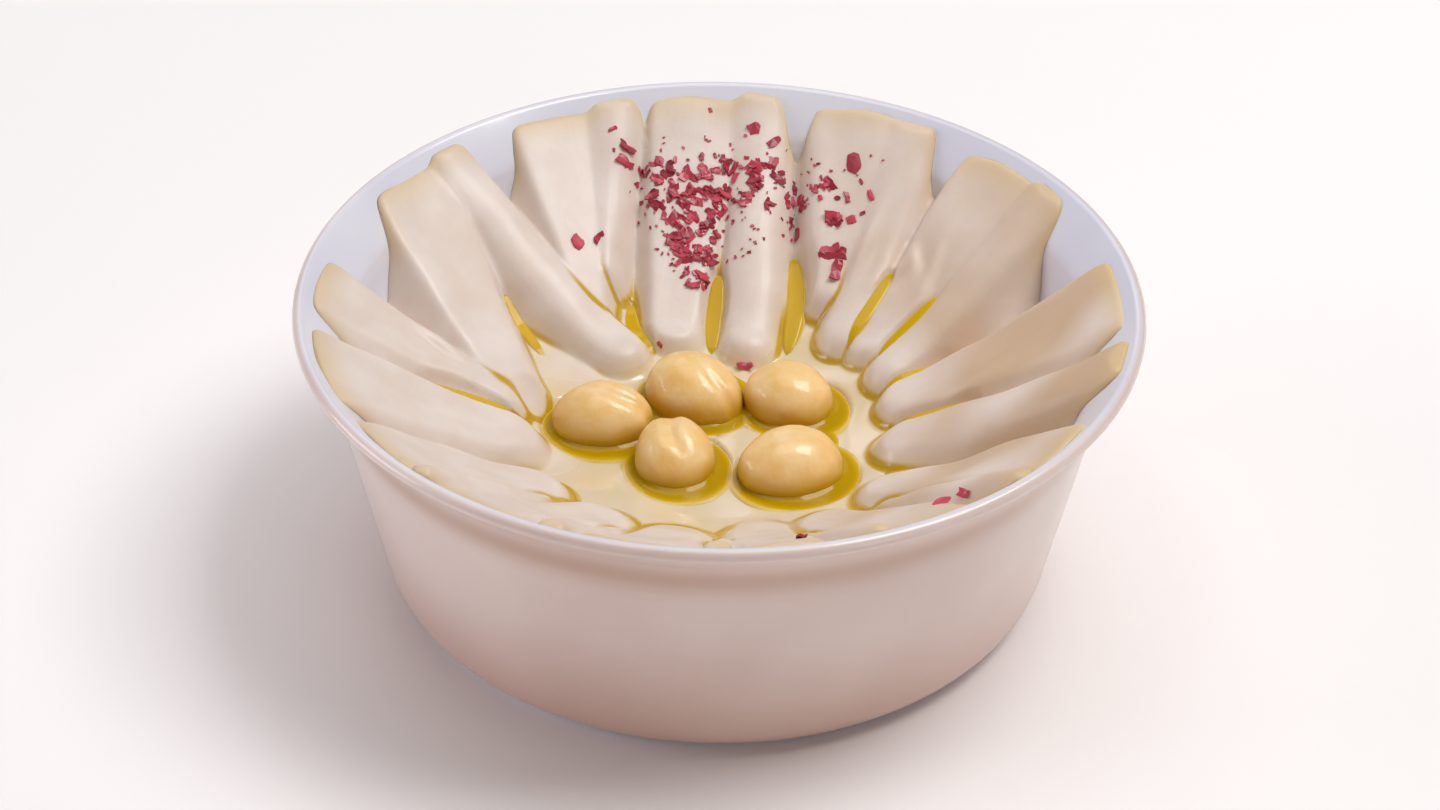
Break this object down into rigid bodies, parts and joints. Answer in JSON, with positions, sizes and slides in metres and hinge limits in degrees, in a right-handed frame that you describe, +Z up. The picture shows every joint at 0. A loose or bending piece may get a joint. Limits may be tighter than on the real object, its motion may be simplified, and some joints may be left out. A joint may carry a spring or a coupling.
{
  "type": "bowl of hummus",
  "caption": "Hummus raked into a ring of petals round its middle, with whole chickpeas, pools of oil and crimson flakes, in a small round white bowl with a flared rim.",
  "frame": {"origin": "centre of the bowl's flat base, on the table", "axes": "+Z up through the bowl's axis; the front of the dish, where the picture was taken from, faces -Y; +X to the right"},
  "size_m": [0.114, 0.1138, 0.0425],
  "materials": {
    "white_glaze": "smooth glossy white glaze",
    "paste": "smooth moist chickpea paste with a faint sheen, with small crimson flakes fused on",
    "chickpea_skin": "smooth oiled skin",
    "olive_oil": "clear golden oil, mirror smooth"
  },
  "bodies": {
    "root": {"bowl": "white_glaze", "hummus": "paste", "chickpea_1": "chickpea_skin", "chickpea_2": "chickpea_skin", "chickpea_3": "chickpea_skin", "chickpea_4": "chickpea_skin", "chickpea_5": "chickpea_skin", "oil_pool": "olive_oil", "oil_streak_1": "olive_oil", "oil_streak_2": "olive_oil", "oil_streak_3": "olive_oil", "oil_streak_4": "olive_oil", "oil_streak_5": "olive_oil", "oil_streak_6": "olive_oil", "oil_streak_7": "olive_oil", "oil_streak_8": "olive_oil", "oil_streak_9": "olive_oil", "oil_streak_10": "olive_oil", "oil_streak_11": "olive_oil", "oil_streak_12": "olive_oil", "oil_streak_13": "olive_oil"}
  },
  "joints": []
}
